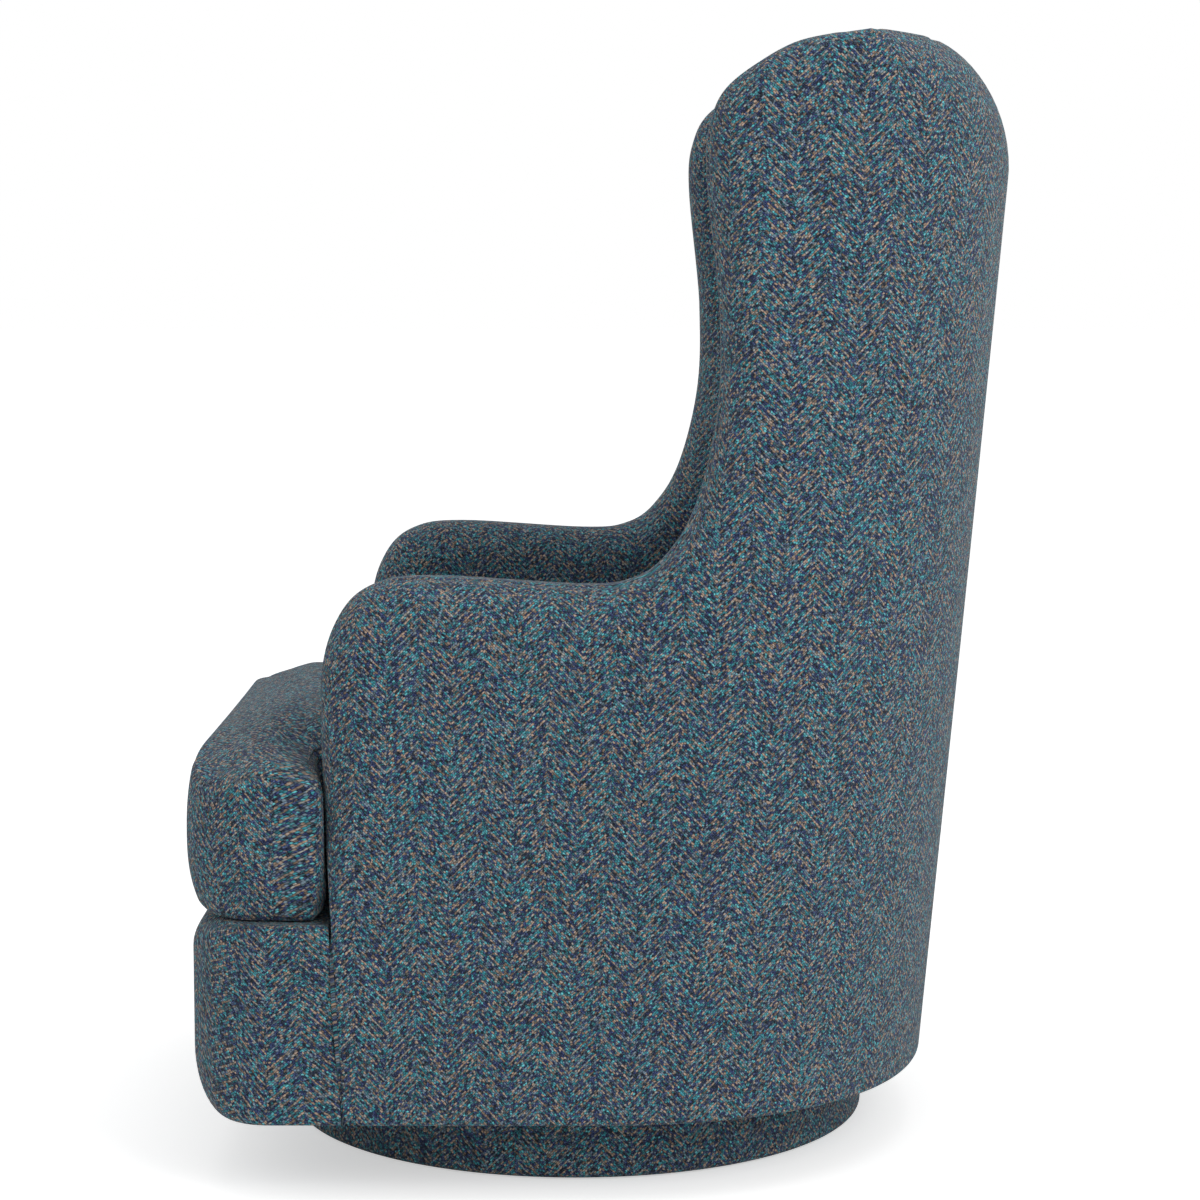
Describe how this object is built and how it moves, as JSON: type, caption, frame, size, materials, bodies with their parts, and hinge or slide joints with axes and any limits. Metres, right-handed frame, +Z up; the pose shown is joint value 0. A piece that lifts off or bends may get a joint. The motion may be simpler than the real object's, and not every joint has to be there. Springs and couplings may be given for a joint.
{
  "type": "swivel chair",
  "caption": "Upholstered high wing-back barrel armchair in herringbone tweed, with a boxed T-shaped seat cushion, turning on a round covered plinth.",
  "frame": {"origin": "on the floor, under the middle of the overall width and depth", "axes": "+Z up, -Y the way the sitter faces, +X to the sitter's left"},
  "size_m": [0.762, 0.833, 1.155],
  "materials": {
    "tweed": "herringbone tweed in blue, teal, tan and grey",
    "dark_cloth": "non-woven dark lining cloth",
    "timber": "sawn plywood and hardwood, unfinished",
    "steel": "zinc-plated",
    "foam": "open-cell upholstery foam",
    "black_plastic": "moulded, satin"
  },
  "bodies": {
    "base": {"plinth_cover": "tweed", "plinth_hoop": "timber", "plinth_top_board": "timber", "base_glides": "black_plastic", "swivel_lower_plate": "steel", "centre_pin": "steel", "lower_plate_screws": "steel"},
    "ball_ring": {"bearing_balls": "steel", "ball_cage": "black_plastic"},
    "chair": {"swivel_upper_plate": "steel", "upper_plate_screws": "steel", "cross_bearers": "timber", "seat_side_rail_left": "timber", "seat_side_rail_right": "timber", "front_rail_board": "timber", "rear_seat_rail": "timber", "corner_blocks": "timber", "arm_panel_left": "timber", "arm_panel_right": "timber", "wing_panel_left": "timber", "wing_panel_right": "timber", "foot_rib": "timber", "seat_rib": "timber", "waist_rib": "timber", "shoulder_rib": "timber", "top_rib": "timber", "back_slats": "timber", "seat_springs": "steel", "spring_clips": "steel", "back_springs": "steel", "seat_deck": "dark_cloth", "dust_cover": "dark_cloth", "outside_cover": "tweed", "inside_arm_left": "tweed", "inside_arm_right": "tweed", "inside_back": "tweed", "front_rail_cover": "tweed"},
    "cushion": {"cushion_cover": "tweed", "cushion_core": "foam", "cushion_zip": "black_plastic"}
  },
  "joints": [
    {"name": "swivel", "type": "hinge", "parent": "base", "child": "chair", "pos_m": [0, -0.033, 0.078], "axis": [0, 0, 1], "continuous": true},
    {"name": "ball_ring_turn", "type": "hinge", "parent": "base", "child": "ball_ring", "pos_m": [0, -0.033, 0.078], "axis": [0, 0, 1], "continuous": true},
    {"name": "cushion_lift", "type": "slide", "parent": "chair", "child": "cushion", "axis": [0, -0.5, 0.866], "range_m": [0, 0.25]}
  ],
  "couplings": [
    {"joint": "ball_ring_turn", "follows": "swivel", "ratio": 0.5}
  ]
}
